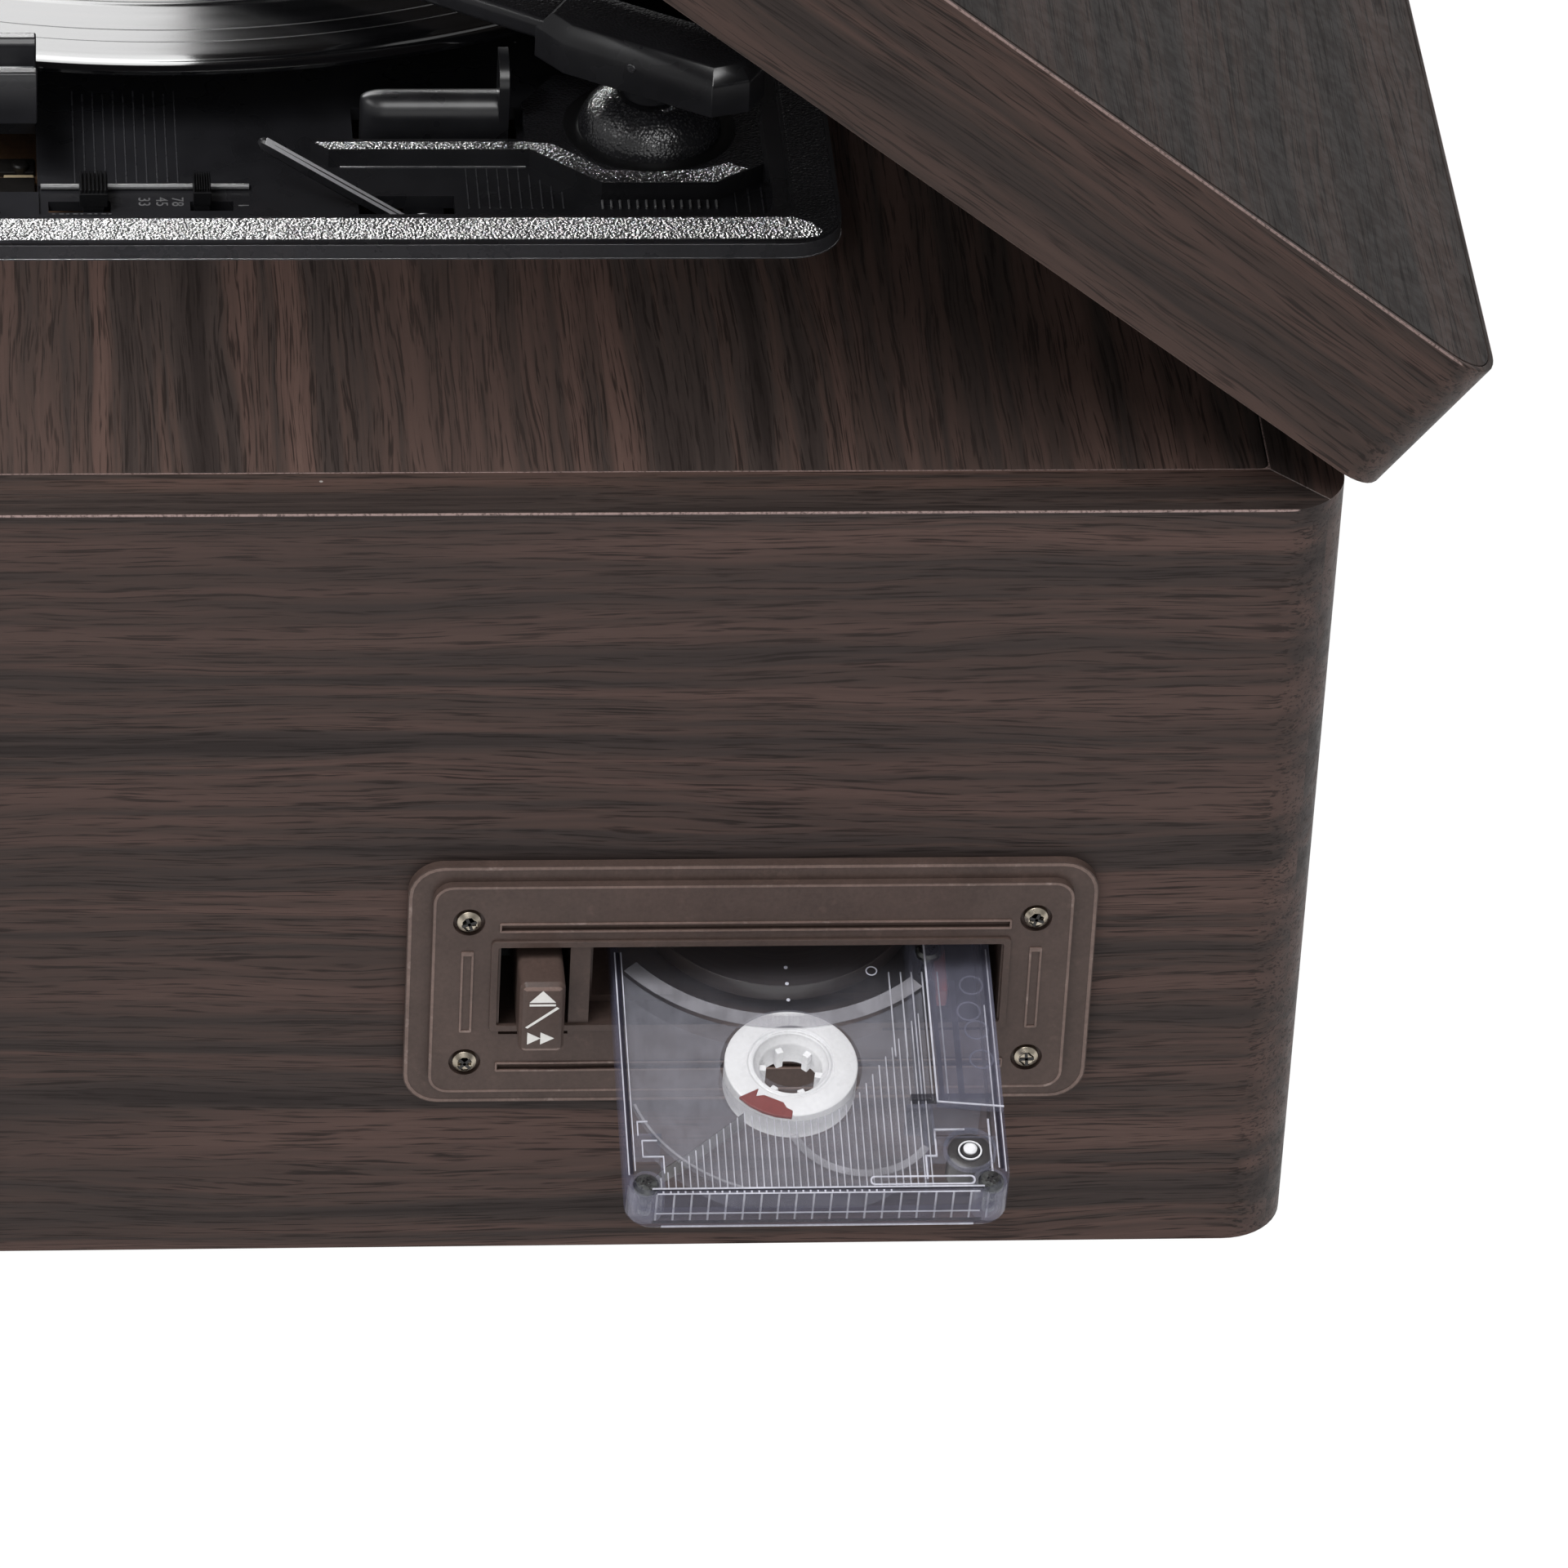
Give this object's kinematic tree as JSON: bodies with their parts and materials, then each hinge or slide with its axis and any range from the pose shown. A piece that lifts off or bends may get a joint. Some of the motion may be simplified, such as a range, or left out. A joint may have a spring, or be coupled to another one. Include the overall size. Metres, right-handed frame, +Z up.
{
  "type": "stereo music centre",
  "caption": "Wood-grain stereo music centre with a hinged lid over a record deck, a tonearm with cue lever, a side cassette slot and a radio front.",
  "frame": {"origin": "centre of the cabinet's footprint, on the surface its feet stand on", "axes": "+Z up; the radio front faces -Y, the hinges are at +Y; the cassette slot faces +X"},
  "size_m": [0.5381, 0.4015, 0.41],
  "materials": {
    "veneer": "matte dark wood-grain foil",
    "board": "raw fibreboard",
    "battens": "raw pine",
    "rubber": "matte",
    "cloth": "woven cloth on a board",
    "speaker_frame": "satin",
    "cone": "paper cone",
    "fascia": "brushed, gold tone",
    "dial": "printed scale",
    "lens": "clear",
    "pointer": "gloss",
    "knob": "satin",
    "circuit_board": "bare board",
    "iron": "laminated core",
    "back": "fine texture",
    "dark_screw": "blackened",
    "hinge_brass": "antique",
    "deck_plastic": "semi gloss with grained bands",
    "platter_metal": "cast",
    "vinyl": "grooved",
    "steel": "bright",
    "brass": "turned",
    "cartridge": "gloss",
    "bezel_plastic": "satin brown",
    "screw_steel": "plated",
    "chassis": "zinc plated",
    "clear_shell": "clear, slightly smoky",
    "hub": "gloss white",
    "tape": "wound tape"
  },
  "bodies": {
    "cabinet_body": {"cabinet": "veneer", "top_panel": "veneer", "bottom_board": "board", "battens": "battens", "feet": "rubber", "baffle": "board", "grille_left": "cloth", "grille_right": "cloth", "speaker_baskets": "speaker_frame", "speaker_cones": "cone", "fascia": "fascia", "dial_plate": "dial", "dial_lens": "lens", "main_board": "circuit_board", "power_transformer": "iron", "rear_panel": "back", "rear_screws": "dark_screw", "audio_jacks": "back", "power_inlet": "back", "cabinet_hinge_leaves": "hinge_brass", "hinge_pins": "hinge_brass", "hinge_screws": "hinge_brass", "deck_plate": "deck_plastic", "switch_board": "circuit_board", "spindle": "steel", "platter_motor": "steel", "drive_belt": "rubber", "arm_rest": "deck_plastic", "tape_bezel": "bezel_plastic", "bezel_screws": "screw_steel", "key_spring": "steel", "tape_chassis": "chassis"},
    "lid": {"lid_frame": "veneer", "lid_top": "veneer", "lid_bumpers": "rubber", "lid_hinge_leaves": "hinge_brass", "lid_hinge_screws": "hinge_brass"},
    "turntable": {"platter": "platter_metal", "platter_mat": "rubber", "record": "vinyl"},
    "pulley": {"motor_pulley": "brass"},
    "yoke": {"arm_yoke": "deck_plastic"},
    "arm": {"tonearm": "deck_plastic", "arm_pivot_pin": "steel", "cartridge": "cartridge"},
    "cue_lever_body": {"cue_lever": "steel"},
    "lift_bar": {"cue_lift_bar": "deck_plastic"},
    "speed_slider": {"speed_switch": "deck_plastic"},
    "autostop_slider": {"autostop_switch": "deck_plastic"},
    "key": {"eject_key": "bezel_plastic"},
    "capstan": {"capstan_flywheel": "platter_metal"},
    "cassette": {"cassette_shell": "clear_shell"},
    "outer_hub": {"outer_reel": "hub"},
    "inner_hub": {"inner_reel": "hub", "tape_pack": "tape"},
    "tuning": {"tuning_knob": "knob"},
    "volume": {"volume_knob": "knob"},
    "function": {"function_knob": "knob"},
    "power": {"power_button": "knob"},
    "pointer": {"dial_pointer": "pointer"}
  },
  "joints": [
    {"name": "lid_hinge", "type": "hinge", "parent": "cabinet_body", "child": "lid", "pos_m": [0, 0.1881, 0.1511], "axis": [-1, 0, 0], "range_deg": [-38.2, 22]},
    {"name": "platter_spin", "type": "hinge", "parent": "cabinet_body", "child": "turntable", "pos_m": [-0.034, -0.0064, 0.15], "axis": [0, 0, 1], "continuous": true},
    {"name": "pulley_spin", "type": "hinge", "parent": "cabinet_body", "child": "pulley", "pos_m": [-0.094, -0.0684, 0.148], "axis": [0, 0, 1], "continuous": true},
    {"name": "tonearm_swing", "type": "hinge", "parent": "cabinet_body", "child": "yoke", "pos_m": [0.1206, 0.0777, 0.16], "axis": [0, 0, -1], "range_deg": [-32.6, 15]},
    {"name": "tonearm_lift", "type": "hinge", "parent": "yoke", "child": "arm", "pos_m": [0.1206, 0.0777, 0.1707], "axis": [-0.8607, 0.509, 0], "range_deg": [0, 1.8]},
    {"name": "cue_lever_turn", "type": "hinge", "parent": "cabinet_body", "child": "cue_lever_body", "pos_m": [0.141, 0.038, 0.146], "axis": [-1, 0, 0], "range_deg": [0, 41.9]},
    {"name": "lift_bar_slide", "type": "slide", "parent": "cabinet_body", "child": "lift_bar", "axis": [0, 0, 1], "range_m": [0, 0.0025]},
    {"name": "speed_slide", "type": "slide", "parent": "cabinet_body", "child": "speed_slider", "axis": [0, -1, 0], "range_m": [0, 0.005]},
    {"name": "autostop_slide", "type": "slide", "parent": "cabinet_body", "child": "autostop_slider", "axis": [0, 1, 0], "range_m": [0, 0.0036]},
    {"name": "cassette_slide", "type": "slide", "parent": "cabinet_body", "child": "cassette", "axis": [-0.9689, 0, 0.2473], "range_m": [0, 0.044]},
    {"name": "inner_reel_spin", "type": "hinge", "parent": "cassette", "child": "inner_hub", "pos_m": [0.22277, 0.0957, 0.06808], "axis": [0.2473, 0, 0.9689], "continuous": true},
    {"name": "outer_reel_spin", "type": "hinge", "parent": "cassette", "child": "outer_hub", "pos_m": [0.26395, 0.0957, 0.05756], "axis": [0.2473, 0, 0.9689], "continuous": true},
    {"name": "capstan_spin", "type": "hinge", "parent": "cabinet_body", "child": "capstan", "pos_m": [0.196, 0.112, 0.04], "axis": [0, 0, 1], "continuous": true},
    {"name": "key_press", "type": "slide", "parent": "cabinet_body", "child": "key", "axis": [-1, 0, 0], "range_m": [0, 0.005], "stiffness_N_per_m": 300, "deforming": ["key_spring"]},
    {"name": "tuning_turn", "type": "hinge", "parent": "cabinet_body", "child": "tuning", "pos_m": [0.048, -0.18, 0.058], "axis": [0, -1, 0], "range_deg": [-150, 150]},
    {"name": "pointer_slide", "type": "slide", "parent": "cabinet_body", "child": "pointer", "axis": [1, 0, 0], "range_m": [-0.05, 0.05]},
    {"name": "volume_turn", "type": "hinge", "parent": "cabinet_body", "child": "volume", "pos_m": [-0.048, -0.18, 0.058], "axis": [0, -1, 0], "range_deg": [-135, 135]},
    {"name": "function_turn", "type": "hinge", "parent": "cabinet_body", "child": "function", "pos_m": [0, -0.18, 0.062], "axis": [0, -1, 0], "range_deg": [-60, 60]},
    {"name": "power_press", "type": "slide", "parent": "cabinet_body", "child": "power", "axis": [0, 1, 0], "range_m": [0, 0.003], "stiffness_N_per_m": 400}
  ],
  "couplings": [
    {"joint": "pulley_spin", "follows": "platter_spin", "ratio": 23.235},
    {"joint": "tonearm_lift", "follows": "cue_lever_turn", "ratio": 0.04296},
    {"joint": "lift_bar_slide", "follows": "cue_lever_turn", "m_per_rad": 0.003418},
    {"joint": "outer_reel_spin", "follows": "inner_reel_spin", "ratio": 2.2936},
    {"joint": "pointer_slide", "follows": "tuning_turn", "m_per_rad": 0.01906}
  ]
}
